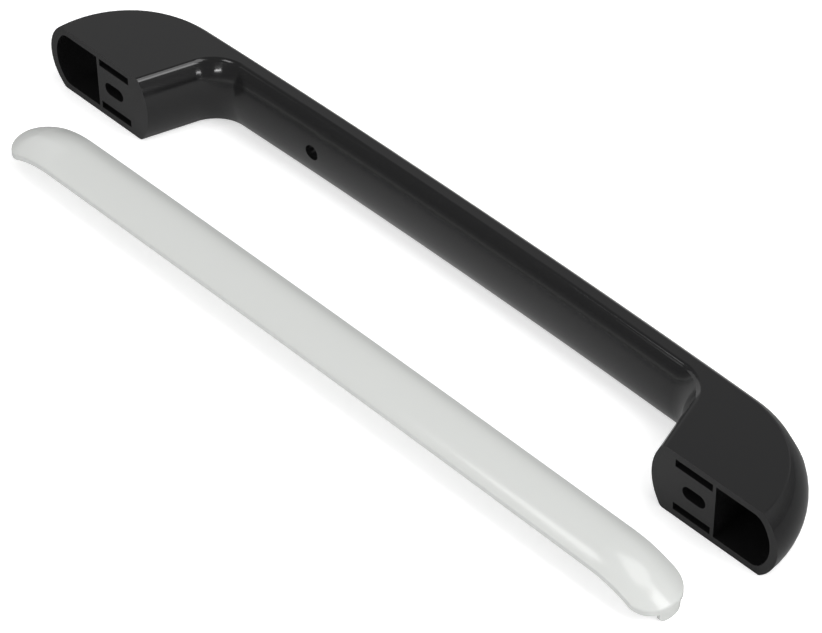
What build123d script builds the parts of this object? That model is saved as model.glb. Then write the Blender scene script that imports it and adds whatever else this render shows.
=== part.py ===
"""Bow-shaped pull handle for an appliance door, with its cover strip taken off.

The handle is one black moulding: two hollow feet joined by a grip.  Its two
flat sides lie at z = +/- half its width.  The mounting faces of the feet lie
in the plane y = 0, the door is on the -Y side, and the grip stands off along
+Y.  X runs along the handle, and the origin is midway between the two screw
slots.  The handle lies on its lower flat side.

A pale cover strip clips into a recess along the handle's front and hides the
screws.  It is shown taken off: it lies beside the handle with its outer face
up, resting on the two tongues at its ends.

All sizes are in millimetres.
"""
import os
from math import asin, cos, hypot, radians, sin, sqrt

from build123d import *

# Handle, outside
OVERALL_LENGTH = 350.0
HANDLE_WIDTH = 28.0
EDGE_HEIGHT = 37.0
CROWN_RADII = (4800.0, 4400.0, 4000.0)
CROWN_BREAKS_X = (38.0, 76.0)
SHOULDER_RADIUS = 40.5
CORNER_RADIUS = 36.3
CORNER_START_ANGLE = 21.5
FRONT_CROWN_DEPTH = 6.7
FRONT_EDGE_ROUND = 0.8

# Handle, the side that faces the door
GRIP_SIDE_DEPTH = 4.6
BACK_CROWN_DEPTH = 4.3
BACK_EDGE_ROUND = 2.0
FOOT_FILLET_RADIUS = 15.0
FOOT_SPLAY = 17.1
SCREW_TO_INNER_EDGE = 13.7

# Screw slots and the wells above them
TIP_TO_SCREW = 35.0
HOLE_SPACING = OVERALL_LENGTH - 2 * TIP_TO_SCREW
SLOT_WIDTH = 5.2
SLOT_LENGTH = 9.8
SEAT_THICKNESS = 6.0
WELL_WIDTH = 10.6
WELL_LENGTH = 13.8

# Hollows of the feet
SIDE_WALL = 2.8
END_WALL = 3.2
CORE_SLOT_WIDTH = 3.1
CORE_SLOT_LENGTH = 15.8
CORE_SLOT_DEPTH = 26.0
SCREW_TO_DIVIDING_WALL = 7.4
DIVIDING_WALL = 1.4
POCKET_CORNER_RADIUS = 5.0

# Channel behind the cover strip
CHANNEL_LEDGE = 1.8
CHANNEL_SKIN = 0.6
CHANNEL_END_WALL = 1.1
RIB_THICKNESS = 1.4
RIB_PITCH = 29.0
RIB_COUNT = 7
RIB_DROP = 3.2
PUSH_HOLE_DIAMETER = 6.0
PUSH_HOLE_X = -66.4

# Cover strip; until it is clipped on it is straighter than the handle
STRIP_CROWN_RADII = (10800.0, 10000.0, 9200.0)
TIP_TO_STRIP = 17.5
SIDE_LAND = 3.4
STRIP_WALL = 1.6
STRIP_LENGTH = OVERALL_LENGTH - 2 * TIP_TO_STRIP
STRIP_WIDTH = HANDLE_WIDTH - 2 * SIDE_LAND

# How far the strip's end arc is from a half circle: the arc's radius is that
# much larger, and its rounded corners' radius that much smaller
STRIP_END_FLATNESS = 1.0
STRIP_CORNER_TIGHTNESS = 0.7

STRIP_EDGE_ROUND = 0.8
STRIP_SIDE_SLACK = 0.05
STRIP_CLEARANCE = 0.25
SEAT_GAP = 0.1
STRIP_TIP_TO_RAIL = 38.0
RAIL_THICKNESS = 1.2
RAIL_HEIGHT = 2.4
RAIL_CLEARANCE = 0.2
TONGUE_LENGTH = 4.0
TONGUE_WIDTH = 9.6
TONGUE_THICKNESS = 2.2
TONGUE_CORNER_RADIUS = 2.0
TONGUE_INSET = 0.4
TONGUE_CLEARANCE = 0.25

# Where the strip lies, from the handle's origin
STRIP_SHIFT_X = 4.1
STRIP_SHIFT_Y = -31.9

# How far cutting shapes reach past the surfaces that they cut
OVERCUT = 6.0

# How close an edge has to be to the line that it is picked by
TOUCH = 0.01

STRIP_END_RADIUS = STRIP_WIDTH / 2 + STRIP_END_FLATNESS
STRIP_CORNER_RADIUS = STRIP_WIDTH / 2 - STRIP_CORNER_TIGHTNESS
CHANNEL_WIDTH = STRIP_WIDTH - 2 * CHANNEL_LEDGE
RAIL_LENGTH = STRIP_LENGTH - 2 * STRIP_TIP_TO_RAIL
HALF_WIDTH = HANDLE_WIDTH / 2
HOLE_X = HOLE_SPACING / 2
DIVIDER_X = HOLE_X + SCREW_TO_DIVIDING_WALL
TOP_Y = EDGE_HEIGHT + FRONT_CROWN_DEPTH
RECESS_DEPTH = STRIP_WALL + SEAT_GAP


def crown_radius(depth):
    """Radius of the arc that rises by depth over half the handle's width."""
    return (HALF_WIDTH ** 2 + depth ** 2) / (2 * depth)


FRONT_RADIUS = crown_radius(FRONT_CROWN_DEPTH)
BACK_RADIUS = crown_radius(BACK_CROWN_DEPTH)
FRONT_ARC_Y = FRONT_CROWN_DEPTH - FRONT_RADIUS


def left(point):
    """The mirror image of a point of the handle's side outline."""
    return (-point[0], point[1])


def on_arc(centre, radius, angle):
    """The point of an arc at an angle from straight up."""
    return (centre[0] + radius * sin(angle), centre[1] + radius * cos(angle))


def crown_layout(radii):
    """Centre, radius and start angle of each arc of the crown's right half."""
    centre = (0.0, EDGE_HEIGHT - radii[0])
    start = 0.0
    layout = [(centre, radii[0], start)]
    for radius, next_radius, break_x in zip(radii, radii[1:], CROWN_BREAKS_X):
        start = asin((break_x - centre[0]) / radius)
        centre = on_arc(centre, radius - next_radius, start)
        layout.append((centre, next_radius, start))
    return layout


def crown_arcs(layout, inset, end_angle):
    """The long crown from right to left, moved inwards."""
    right_side = []
    stop = end_angle
    for centre, radius, start in reversed(layout[1:]):
        angles = (stop, (stop + start) / 2, start)
        right_side.append([on_arc(centre, radius - inset, angle) for angle in angles])
        stop = start
    inner = right_side[-1][-1]
    return [
        *[ThreePointArc(*points) for points in right_side],
        ThreePointArc(inner, (0, EDGE_HEIGHT - inset), left(inner)),
        *[ThreePointArc(*[left(point) for point in reversed(points)]) for points in reversed(right_side)],
    ]


def front_path(inset=0.0, radii=CROWN_RADII):
    """The flat side's front outline, from foot to foot, moved inwards.

    At each end the long crown runs into a shoulder arc, that into a corner
    arc, and that into a straight end.
    """
    layout = crown_layout(radii)
    crown_centre, crown, _ = layout[-1]
    end_x = OVERALL_LENGTH / 2 - FRONT_CROWN_DEPTH
    split = radians(CORNER_START_ANGLE)
    corner_reach = CORNER_RADIUS + (SHOULDER_RADIUS - CORNER_RADIUS) * sin(split)
    crown_end = asin((end_x - corner_reach - crown_centre[0]) / (crown - SHOULDER_RADIUS))
    shoulder_centre = on_arc(crown_centre, crown - SHOULDER_RADIUS, crown_end)
    corner_centre = on_arc(shoulder_centre, SHOULDER_RADIUS - CORNER_RADIUS, split)
    shoulder = SHOULDER_RADIUS - inset
    corner = CORNER_RADIUS - inset

    right_angle = radians(90)
    foot = (end_x - inset, min(corner_centre[1], 0) - OVERCUT)
    corner_start = on_arc(corner_centre, corner, right_angle)
    corner_middle = on_arc(corner_centre, corner, (right_angle + split) / 2)
    corner_end = on_arc(corner_centre, corner, split)
    shoulder_middle = on_arc(shoulder_centre, shoulder, (split + crown_end) / 2)
    shoulder_end = on_arc(shoulder_centre, shoulder, crown_end)
    return Wire([
        Line(foot, corner_start),
        ThreePointArc(corner_start, corner_middle, corner_end),
        ThreePointArc(corner_end, shoulder_middle, shoulder_end),
        *crown_arcs(layout, inset, crown_end),
        ThreePointArc(left(shoulder_end), left(shoulder_middle), left(corner_end)),
        ThreePointArc(left(corner_end), left(corner_middle), left(corner_start)),
        Line(left(corner_start), left(foot)),
    ])


def back_path(inset=0.0):
    """The flat side's outline towards the door, moved into the material.

    It climbs the inner side of one foot, turns along the grip through a
    fillet, and comes down the other foot.
    """
    layout = crown_layout(CROWN_RADII)
    crown_centre, crown, _ = layout[-1]
    below_front = GRIP_SIDE_DEPTH - inset
    crown -= below_front
    bend = FOOT_FILLET_RADIUS + inset
    splay = radians(FOOT_SPLAY)
    rise_x, rise_y = -sin(splay), cos(splay)
    gap_x, gap_y = -cos(splay), -sin(splay)
    base_x = HOLE_X - SCREW_TO_INNER_EDGE - inset * gap_x
    base_y = -inset * gap_y

    # The bend touches the foot's line and the crown from below
    from_x = base_x + bend * gap_x - crown_centre[0]
    from_y = base_y + bend * gap_y - crown_centre[1]
    along = from_x * rise_x + from_y * rise_y
    rise = sqrt(along ** 2 - from_x ** 2 - from_y ** 2 + (crown - bend) ** 2) - along
    bend_start = (base_x + rise * rise_x, base_y + rise * rise_y)
    bend_centre = (bend_start[0] + bend * gap_x, bend_start[1] + bend * gap_y)
    out_x = (bend_centre[0] - crown_centre[0]) / (crown - bend)
    out_y = (bend_centre[1] - crown_centre[1]) / (crown - bend)
    bend_end = (bend_centre[0] + bend * out_x, bend_centre[1] + bend * out_y)
    middle_x, middle_y = out_x - gap_x, out_y - gap_y
    scale = bend / hypot(middle_x, middle_y)
    bend_middle = (bend_centre[0] + scale * middle_x, bend_centre[1] + scale * middle_y)
    foot = (base_x - 2 * OVERCUT * rise_x, base_y - 2 * OVERCUT * rise_y)
    return Wire([
        Line(foot, bend_start),
        ThreePointArc(bend_start, bend_middle, bend_end),
        *crown_arcs(layout, below_front, asin(out_x)),
        ThreePointArc(left(bend_end), left(bend_middle), left(bend_start)),
        Line(left(bend_start), left(foot)),
    ])


def slab(path, half_width):
    """The solid between a path and the line that joins its ends."""
    outline = Wire([*path.edges(), Line(path @ 1, path @ 0)])
    return extrude(make_face(outline), half_width, dir=(0, 0, 1), both=True)


def along_path(path, outline):
    """Sweep an outline drawn across the path, with its x along the part's Z."""
    across = Plane(origin=path @ 0, x_dir=(0, 0, 1), z_dir=path % 0)
    return sweep(across * outline, path=path)


def arc_and_box(half_width, arc_radius, arc_centre_y, arc_side, far_y):
    """The outline between an arc and a straight line at far_y."""
    edge_y = arc_centre_y + arc_side * sqrt(arc_radius ** 2 - half_width ** 2)
    middle_y = arc_centre_y + arc_side * arc_radius
    return make_face([
        ThreePointArc((-half_width, edge_y), (0, middle_y), (half_width, edge_y)),
        Line((half_width, edge_y), (half_width, far_y)),
        Line((half_width, far_y), (-half_width, far_y)),
        Line((-half_width, far_y), (-half_width, edge_y)),
    ])


def front_space(inset, half_width, radii=CROWN_RADII):
    """What lies outside the crowned front, when that is moved inwards by inset."""
    far_y = FRONT_CROWN_DEPTH + OVERCUT
    outline = arc_and_box(half_width, FRONT_RADIUS - inset, FRONT_ARC_Y, 1, far_y)
    return along_path(front_path(radii=radii), outline)


def finger_space():
    """What lies between the feet, up to the crowned back of the grip."""
    half_width = HALF_WIDTH + 1
    centre_y = BACK_RADIUS - BACK_CROWN_DEPTH
    far_y = -BACK_CROWN_DEPTH - OVERCUT
    outline = arc_and_box(half_width, BACK_RADIUS, centre_y, -1, far_y)
    core = slab(back_path(-BACK_CROWN_DEPTH - OVERCUT / 2), half_width)
    return along_path(back_path(), outline) + core


def block(x_range, y_range, z_range):
    """A box given by its limits."""
    ranges = (x_range, y_range, z_range)
    size = [high - low for low, high in ranges]
    middle = [(high + low) / 2 for low, high in ranges]
    return Pos(*middle) * Box(*size)


def bowed_plan(half_length, half_width, end_radius, corner_radius):
    """A long plan outline with bowed ends and rounded corners."""
    corner_x = half_length - end_radius + sqrt(end_radius ** 2 - half_width ** 2)
    outline = make_face([
        Line((-corner_x, half_width), (corner_x, half_width)),
        ThreePointArc((corner_x, half_width), (half_length, 0), (corner_x, -half_width)),
        Line((corner_x, -half_width), (-corner_x, -half_width)),
        ThreePointArc((-corner_x, -half_width), (-half_length, 0), (-corner_x, half_width)),
    ])
    return fillet(outline.vertices(), corner_radius)


def strip_plan(growth, side_slack=0.0):
    """The cover strip's plan outline, grown on all sides and more at the long ones."""
    return bowed_plan(
        STRIP_LENGTH / 2 + growth,
        STRIP_WIDTH / 2 + growth + side_slack,
        STRIP_END_RADIUS + growth,
        STRIP_CORNER_RADIUS + growth,
    )


def upright(outline, low, high):
    """Stand a plan outline, drawn in X and Z, between two heights over the door."""
    across = Plane(origin=(0, low, 0), x_dir=(1, 0, 0), z_dir=(0, 1, 0))
    return extrude(across * outline, high - low)


def both_feet(tool):
    """A tool for the right foot, with its mirror image for the left one."""
    return tool + mirror(tool, about=Plane.YZ)


def side_edges(form, path):
    """The edges where a flat side of the form meets the surface along a path."""

    def follows(edge):
        middle = edge @ 0.5
        on_side = abs(abs(middle.Z) - HALF_WIDTH) < TOUCH
        return on_side and path.distance_to(Vector(middle.X, middle.Y, 0)) < TOUCH

    return form.edges().filter_by(follows)


def outer_form():
    """The moulding before its hollows: flat sides, crowned front and back."""
    form = slab(front_path(-FRONT_CROWN_DEPTH - 1), HALF_WIDTH)
    form -= block((-OVERALL_LENGTH, OVERALL_LENGTH), (-TOP_Y, 0), (-HANDLE_WIDTH, HANDLE_WIDTH))
    form -= front_space(0, HALF_WIDTH + 1)
    form -= finger_space()
    form = fillet(side_edges(form, back_path()), BACK_EDGE_ROUND)
    return fillet(side_edges(form, front_path()), FRONT_EDGE_ROUND)


def strip_recess():
    """The cover strip's seat in the crowned front."""
    depth = front_space(RECESS_DEPTH, STRIP_WIDTH / 2 + 1)
    return depth & upright(strip_plan(STRIP_CLEARANCE), 0, TOP_Y + OVERCUT)


def grip_channel():
    """The channel under the strip, from boss to boss, less its cross ribs."""
    half_width = CHANNEL_WIDTH / 2
    end_x = DIVIDER_X - CORE_SLOT_LENGTH - CHANNEL_END_WALL
    channel = block((-end_x, end_x), (SEAT_THICKNESS, TOP_Y), (-half_width, half_width))
    channel -= slab(back_path(CHANNEL_SKIN), half_width + 1)
    under_rails = front_space(RECESS_DEPTH + RIB_DROP, half_width + 1)
    for index in range(RIB_COUNT):
        middle = (index - (RIB_COUNT - 1) / 2) * RIB_PITCH
        rib_x = (middle - RIB_THICKNESS / 2, middle + RIB_THICKNESS / 2)
        rib = block(rib_x, (0, TOP_Y), (-half_width - 1, half_width + 1))
        channel -= rib - under_rails
    return channel


def screw_seat():
    """The right foot's well for the screw head, with the slot through its floor."""
    well_plan = Pos(HOLE_X, 0) * SlotOverall(WELL_LENGTH, WELL_WIDTH)
    slot_plan = Pos(HOLE_X, 0) * SlotOverall(SLOT_LENGTH, SLOT_WIDTH)
    well = upright(well_plan, SEAT_THICKNESS, TOP_Y)
    return well + upright(slot_plan, -OVERCUT, SEAT_THICKNESS + 1)


def core_slots():
    """The two narrow hollows beside the right foot's boss, open to the door."""
    x_range = (DIVIDER_X - CORE_SLOT_LENGTH, DIVIDER_X)
    outer_z = HALF_WIDTH - SIDE_WALL
    slot = block(x_range, (-OVERCUT, CORE_SLOT_DEPTH), (outer_z - CORE_SLOT_WIDTH, outer_z))
    return slot + mirror(slot, about=Plane.XY)


def end_pocket():
    """The deep hollow behind the right foot's rounded end, open to the door."""
    wall_x = DIVIDER_X + DIVIDING_WALL
    half_width = HALF_WIDTH - SIDE_WALL
    tip_x = OVERALL_LENGTH / 2 - END_WALL
    plan = bowed_plan(tip_x, half_width, FRONT_RADIUS - END_WALL, POCKET_CORNER_RADIUS)
    pocket = upright(plan, -OVERCUT, TOP_Y)
    pocket &= block((wall_x, OVERALL_LENGTH), (-OVERCUT, TOP_Y), (-half_width, half_width))
    return pocket - front_space(END_WALL, half_width + 1)


def strip_section():
    """The strip's outline across its length, drawn as the front's outline is."""
    side_z = STRIP_WIDTH / 2
    inner_radius = FRONT_RADIUS - STRIP_WALL
    outer_y = FRONT_ARC_Y + sqrt(FRONT_RADIUS ** 2 - side_z ** 2)
    inner_y = FRONT_ARC_Y + sqrt(inner_radius ** 2 - side_z ** 2)
    section = make_face([
        ThreePointArc((-side_z, outer_y), (0, FRONT_CROWN_DEPTH), (side_z, outer_y)),
        Line((side_z, outer_y), (side_z, inner_y)),
        ThreePointArc((side_z, inner_y), (0, FRONT_ARC_Y + inner_radius), (-side_z, inner_y)),
        Line((-side_z, inner_y), (-side_z, outer_y)),
    ])
    return fillet(section.vertices().group_by(Axis.Y)[-1], STRIP_EDGE_ROUND)


def strip_plate(radii):
    """The cover strip's crowned plate, as it sits in the recess."""
    end_outline = strip_plan(0, STRIP_SIDE_SLACK)
    plate = along_path(front_path(radii=radii), strip_section())
    plate &= upright(end_outline, 0, TOP_Y + OVERCUT)
    front = front_space(0, HALF_WIDTH, radii)
    rim = end_outline.wire()

    def on_end_rim(edge):
        middle = edge @ 0.5
        on_outline = rim.distance_to(Vector(middle.X, middle.Z, 0)) < TOUCH
        return on_outline and front.distance_to(middle) < TOUCH

    return fillet(plate.edges().filter_by(on_end_rim), STRIP_EDGE_ROUND)


def tongue(low_y, growth):
    """The right-hand tongue under the strip's tip, grown on all sides.

    Its outer face follows the strip's rounded end.
    """
    tip_x = STRIP_LENGTH / 2
    x_range = (tip_x - TONGUE_INSET - TONGUE_THICKNESS - growth, tip_x + growth)
    y_range = (low_y - growth, low_y + TONGUE_LENGTH + OVERCUT)
    half_width = TONGUE_WIDTH / 2 + growth
    tip = block(x_range, y_range, (-half_width, half_width))
    tip = fillet(tip.edges().filter_by(Axis.X).group_by(Axis.Y)[0], TONGUE_CORNER_RADIUS)
    return tip & upright(strip_plan(growth - TONGUE_INSET), 0, TOP_Y)


def strip_rails(radii):
    """The two low rails under the strip that fit between the channel's walls."""
    outer_z = CHANNEL_WIDTH / 2 - RAIL_CLEARANCE
    x_range = (-RAIL_LENGTH / 2, RAIL_LENGTH / 2)
    rail = block(x_range, (0, TOP_Y), (outer_z - RAIL_THICKNESS, outer_z))
    rail &= front_space(STRIP_WALL + RAIL_HEIGHT, outer_z + 1, radii)
    rail -= front_space(STRIP_WALL / 2, outer_z + 1, radii)
    return rail + mirror(rail, about=Plane.XY)


def cover_strip(radii):
    """The strip as it sits in its recess, and how low its tongues reach."""
    plate = strip_plate(radii)
    low_y = plate.bounding_box().min.Y - TONGUE_LENGTH
    tip = tongue(low_y, 0) - front_space(STRIP_WALL / 2, TONGUE_WIDTH, radii)
    return plate + strip_rails(radii) + both_feet(tip), low_y


def handle_body(tongue_low_y):
    """The black moulding with all its hollows."""
    push_hole = Pos(PUSH_HOLE_X, 0, 0) * Rot(90, 0, 0) * Cylinder(PUSH_HOLE_DIAMETER / 2, 3 * TOP_Y)
    body = outer_form()
    body -= strip_recess()
    body -= grip_channel()
    body -= both_feet(screw_seat() + core_slots() + end_pocket())
    body -= both_feet(tongue(tongue_low_y, TONGUE_CLEARANCE))
    return body - push_hole


def laid_down(strip, low_y):
    """The strip taken off: outer face up, on its tongues beside the handle."""
    place = Pos(STRIP_SHIFT_X, STRIP_SHIFT_Y, -HALF_WIDTH - low_y)
    return place * Rot(90, 0, 0) * strip


def main():
    _, mounted_low_y = cover_strip(CROWN_RADII)
    strip, low_y = cover_strip(STRIP_CROWN_RADII)
    nodes = {
        "handle_body": handle_body(mounted_low_y),
        "cover_strip": laid_down(strip, low_y),
    }
    os.makedirs("parts", exist_ok=True)
    for name, shape in nodes.items():
        print(name, len(shape.solids()), "solid", round(shape.volume), "mm3", shape.is_valid)
        export_step(shape.solid(), f"parts/{name}.step")


main()
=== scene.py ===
"""Black door pull handle with its pale cover strip laid beside it."""
import math

import bpy
from mathutils import Matrix, Vector

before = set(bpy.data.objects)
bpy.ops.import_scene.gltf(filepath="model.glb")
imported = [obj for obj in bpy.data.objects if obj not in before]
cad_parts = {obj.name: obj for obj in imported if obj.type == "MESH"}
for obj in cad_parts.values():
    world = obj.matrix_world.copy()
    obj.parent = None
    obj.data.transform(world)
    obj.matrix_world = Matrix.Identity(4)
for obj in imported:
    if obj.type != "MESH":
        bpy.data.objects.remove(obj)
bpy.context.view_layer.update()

# The camera, solved from the photograph's straight lines
CAMERA_PLACE = (0.629806, -0.590330, 0.796123)
CAMERA_RIGHT = (0.69548162, 0.71851164, -0.00680727)
CAMERA_UP = (-0.48887291, 0.48010391, 0.72835672)
CAMERA_BACK = (0.52660098, -0.50323083, 0.68516432)
LENS_MM = 153.28
SENSOR_MM = 36.0
CLIP_START = 0.05

# Plain white, as the table's glow and the world use it
WHITE = (1.0, 1.0, 1.0, 1.0)

# The room, as a reflection shows it: a white surface in plain light has level 1.
# The backdrop lies on the +Y side and fades out upwards and towards the horizon.
ROOM_LEVEL = 0.21
BACKDROP_LEVEL = 0.53
BACKDROP_SIDE = (-0.2, 0.3)
BACKDROP_TOP = (0.84, 0.60)
BACKDROP_FOOT = (0.05, 0.5)

# Name, azimuth and elevation in degrees, distance and size in metres, and radiance
LAMPS = (
    ("right_softbox", 12.0, 39.0, 1.2, (0.50, 0.84), 5.1),
    ("front_softbox", -96.0, 31.0, 1.2, (0.86, 0.50), 3.0),
    ("overhead_softbox", 48.0, 73.5, 1.25, (0.74, 0.6), 2.9),
    ("left_softbox", -172.0, 24.0, 1.3, (1.4, 0.9), 0.75),
    ("left_top_lamp", -135.0, 64.0, 1.0, (0.2, 0.2), 5.0),
    ("low_right_lamp", -10.0, 9.0, 1.2, (0.26, 0.07), 12.0),
    ("low_front_lamp", -67.0, 10.5, 1.2, (0.40, 0.05), 22.0),
)

# The surface that the handle lies on, 0.02 mm under its lower flat side, so that the
# two never share a plane
FLOOR_Z = -0.01402
FLOOR_SIZE = 6.0

# The table shows white to the camera. In the gloss of the plastic it is painted darker,
# with a painted pale pool of glow around the object: the reach of the pool along X and
# Y in metres, and where it fades, as a share of that reach
TABLE_COLOUR = (0.88, 0.88, 0.88, 1.0)
TABLE_GLOW = 0.5
PAINTED_TABLE_COLOUR_IN_GLOSS = (0.24, 0.24, 0.24, 1.0)
PAINTED_POOL_GLOW_IN_GLOSS = 0.36
POOL_REACH = (0.21, 0.12)
POOL_FADE = (0.1, 1.2)

# Node, material name, colour and roughness of each plastic, then the scale of its
# surface's fine unevenness and the height of that unevenness in metres
PLASTICS = (
    ("handle_body", "black_plastic", (0.010, 0.010, 0.0103), 0.12, 900.0, 0.00001),
    ("cover_strip", "pale_plastic", (0.65, 0.662, 0.645), 0.16, 60.0, 0.00003),
)
GRAIN_DETAIL = 2.0
GRAIN_STRENGTH = 0.1


def node_material(name):
    """A new material with an empty node tree and its output node."""
    material = bpy.data.materials.new(name)
    material.use_nodes = True
    tree = material.node_tree
    tree.nodes.clear()
    output = tree.nodes.new("ShaderNodeOutputMaterial")
    return material, tree, output


def fine_bump(tree, shader, scale, height):
    """Fine unevenness of a moulded surface, in the part's own coordinates."""
    place = tree.nodes.new("ShaderNodeTexCoord")
    noise = tree.nodes.new("ShaderNodeTexNoise")
    noise.inputs["Scale"].default_value = scale
    noise.inputs["Detail"].default_value = GRAIN_DETAIL
    bump = tree.nodes.new("ShaderNodeBump")
    bump.inputs["Strength"].default_value = GRAIN_STRENGTH
    bump.inputs["Distance"].default_value = height
    tree.links.new(place.outputs["Object"], noise.inputs["Vector"])
    tree.links.new(noise.outputs["Fac"], bump.inputs["Height"])
    tree.links.new(bump.outputs["Normal"], shader.inputs["Normal"])


def moulded_plastic(name, colour, roughness, grain_scale, grain_height):
    """A plastic with a slightly uneven surface."""
    material, tree, output = node_material(name)
    shader = tree.nodes.new("ShaderNodeBsdfPrincipled")
    shader.inputs["Base Color"].default_value = (*colour, 1.0)
    shader.inputs["Roughness"].default_value = roughness
    fine_bump(tree, shader, grain_scale, grain_height)
    tree.links.new(shader.outputs["BSDF"], output.inputs["Surface"])
    return material


def dress(node, material):
    """Give a CAD node its material."""
    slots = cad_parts[node].data.materials
    slots.clear()
    slots.append(material)


def calculate(tree, operation, *inputs):
    """The result of a maths node; each input is a socket or a number."""
    step = tree.nodes.new("ShaderNodeMath")
    step.operation = operation
    for index, value in enumerate(inputs):
        if isinstance(value, float):
            step.inputs[index].default_value = value
        else:
            tree.links.new(value, step.inputs[index])
    return step.outputs["Value"]


def fade(tree, value, start, stop):
    """A smooth step of a value from 0 at start to 1 at stop."""
    step = tree.nodes.new("ShaderNodeMapRange")
    step.interpolation_type = "SMOOTHSTEP"
    step.inputs["From Min"].default_value = start
    step.inputs["From Max"].default_value = stop
    tree.links.new(value, step.inputs["Value"])
    return step.outputs["Result"]


def painted_pool_mask(tree):
    """Mask of the painted pool of glow: 1 in the middle of the table, fading to 0 around the object.
    """
    place = tree.nodes.new("ShaderNodeTexCoord")
    axes = tree.nodes.new("ShaderNodeSeparateXYZ")
    tree.links.new(place.outputs["Object"], axes.inputs["Vector"])
    reach_x, reach_y = POOL_REACH
    along = calculate(tree, "DIVIDE", axes.outputs["X"], reach_x)
    across = calculate(tree, "DIVIDE", axes.outputs["Y"], reach_y)
    across_squared = calculate(tree, "MULTIPLY", across, across)
    away = calculate(tree, "SQRT", calculate(tree, "MULTIPLY_ADD", along, along, across_squared))
    return calculate(tree, "SUBTRACT", 1.0, fade(tree, away, *POOL_FADE))


def pale_floor():
    """A table top that shows white to the camera and keeps the object's shadow; in the plastic's
    gloss it shows a painted darker reflection and a painted pool of glow.
    """
    bpy.ops.mesh.primitive_plane_add(size=FLOOR_SIZE, location=(0, 0, FLOOR_Z))
    floor = bpy.context.object
    floor.name = "floor"
    material, tree, output = node_material("white_table")
    path = tree.nodes.new("ShaderNodeLightPath")
    paint = tree.nodes.new("ShaderNodeMix")
    paint.data_type = "RGBA"
    paint.inputs["A"].default_value = TABLE_COLOUR
    # Painted reflection: a darker table colour that only glossy rays see
    paint.inputs["B"].default_value = PAINTED_TABLE_COLOUR_IN_GLOSS
    tree.links.new(path.outputs["Is Glossy Ray"], paint.inputs["Factor"])
    diffuse = tree.nodes.new("ShaderNodeBsdfDiffuse")
    tree.links.new(paint.outputs["Result"], diffuse.inputs["Color"])
    # Painted light: a glow in a pool around the object, seen only in the plastic's gloss
    painted_pool_glow = calculate(tree, "MULTIPLY", painted_pool_mask(tree), PAINTED_POOL_GLOW_IN_GLOSS)
    painted_gloss_glow = calculate(tree, "MULTIPLY", path.outputs["Is Glossy Ray"], painted_pool_glow)
    strength = calculate(tree, "MULTIPLY_ADD", path.outputs["Is Camera Ray"], TABLE_GLOW, painted_gloss_glow)
    glow = tree.nodes.new("ShaderNodeEmission")
    glow.inputs["Color"].default_value = WHITE
    tree.links.new(strength, glow.inputs["Strength"])
    both = tree.nodes.new("ShaderNodeAddShader")
    tree.links.new(diffuse.outputs["BSDF"], both.inputs[0])
    tree.links.new(glow.outputs["Emission"], both.inputs[1])
    tree.links.new(both.outputs["Shader"], output.inputs["Surface"])
    floor.data.materials.append(material)


def studio_lamp(name, azimuth, elevation, distance, size, radiance):
    """A rectangular lamp that faces the origin; radiance 1 looks white in a mirror."""
    width, height = size
    lamp = bpy.data.lights.new(name, "AREA")
    lamp.shape = "RECTANGLE"
    lamp.size = width
    lamp.size_y = height
    lamp.energy = radiance * math.pi * width * height
    turn = math.radians(azimuth)
    rise = math.radians(elevation)
    reach = math.cos(rise)
    direction = Vector((reach * math.cos(turn), reach * math.sin(turn), math.sin(rise)))
    holder = bpy.data.objects.new(name, lamp)
    facing = (-direction).to_track_quat("-Z", "Y").to_matrix().to_4x4()
    holder.matrix_world = Matrix.Translation(direction * distance) @ facing
    bpy.context.scene.collection.objects.link(holder)


def white_light(tree):
    """A white background of strength 1."""
    background = tree.nodes.new("ShaderNodeBackground")
    background.inputs["Color"].default_value = WHITE
    background.inputs["Strength"].default_value = 1.0
    return background


def studio_world():
    """White to the camera; a dim room with a pale backdrop behind the object to the rest."""
    world = bpy.data.worlds.new("studio")
    world.use_nodes = True
    tree = world.node_tree
    tree.nodes.clear()
    output = tree.nodes.new("ShaderNodeOutputWorld")
    place = tree.nodes.new("ShaderNodeTexCoord")
    axes = tree.nodes.new("ShaderNodeSeparateXYZ")
    tree.links.new(place.outputs["Generated"], axes.inputs["Vector"])
    behind = fade(tree, axes.outputs["Y"], *BACKDROP_SIDE)
    below_top = fade(tree, axes.outputs["Z"], *BACKDROP_TOP)
    above_foot = fade(tree, axes.outputs["Z"], *BACKDROP_FOOT)
    height = calculate(tree, "MULTIPLY", below_top, above_foot)
    backdrop = calculate(tree, "MULTIPLY", behind, height)
    level = tree.nodes.new("ShaderNodeMapRange")
    level.inputs["To Min"].default_value = ROOM_LEVEL
    level.inputs["To Max"].default_value = BACKDROP_LEVEL
    tree.links.new(backdrop, level.inputs["Value"])
    room = white_light(tree)
    tree.links.new(level.outputs["Result"], room.inputs["Strength"])
    seen = white_light(tree)
    path = tree.nodes.new("ShaderNodeLightPath")
    choice = tree.nodes.new("ShaderNodeMixShader")
    tree.links.new(path.outputs["Is Camera Ray"], choice.inputs["Fac"])
    tree.links.new(room.outputs["Background"], choice.inputs[1])
    tree.links.new(seen.outputs["Background"], choice.inputs[2])
    tree.links.new(choice.outputs["Shader"], output.inputs["Surface"])
    bpy.context.scene.world = world


def place_camera():
    """The photograph's camera."""
    data = bpy.data.cameras.new("camera")
    data.sensor_width = SENSOR_MM
    data.lens = LENS_MM
    data.clip_start = CLIP_START
    camera = bpy.data.objects.new("camera", data)
    turn = Matrix((CAMERA_RIGHT, CAMERA_UP, CAMERA_BACK)).transposed()
    camera.matrix_world = Matrix.Translation(CAMERA_PLACE) @ turn.to_4x4()
    bpy.context.scene.collection.objects.link(camera)
    bpy.context.scene.camera = camera


for node, name, *finish in PLASTICS:
    dress(node, moulded_plastic(name, *finish))
pale_floor()
studio_world()
for lamp in LAMPS:
    studio_lamp(*lamp)
place_camera()
bpy.context.scene.view_settings.view_transform = "Standard"
